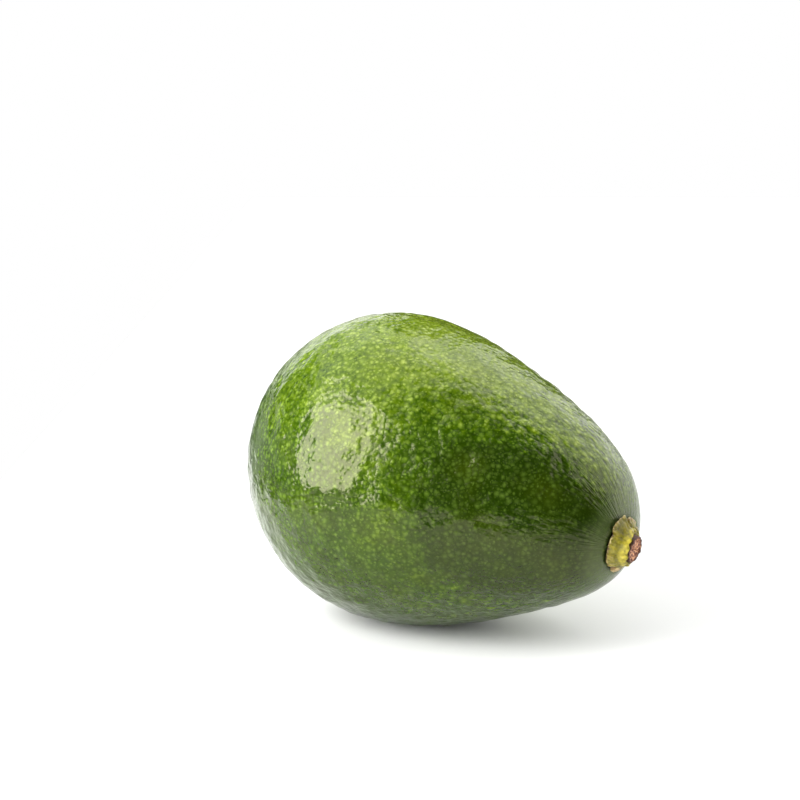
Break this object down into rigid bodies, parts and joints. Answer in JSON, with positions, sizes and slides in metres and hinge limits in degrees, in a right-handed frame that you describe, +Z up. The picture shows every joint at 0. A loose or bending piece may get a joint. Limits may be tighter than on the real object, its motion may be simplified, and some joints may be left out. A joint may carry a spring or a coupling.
{
  "type": "avocado",
  "caption": "Pear-shaped green avocado lying on its side, with a waxy pebbled skin, a lobed calyx and a short cut stem at the narrow end. Rests on a small flat spot.",
  "frame": {"origin": "on the resting surface, z = 0, under the middle of the whole fruit with its stem", "axes": "+X from the blossom end towards the stem end, +Z up"},
  "size_m": [0.1052, 0.075, 0.0743],
  "materials": {
    "skin": "waxy pebbled skin, deep green with pale yellow-green specks",
    "calyx": "smooth dull yellow-green, dried brown at the lobe tips",
    "stem": "fresh-cut end grain, orange-tan with a dark brown bark rim"
  },
  "bodies": {
    "root": {"fruit": "skin", "calyx": "calyx", "stem_stub": "stem"}
  },
  "joints": []
}
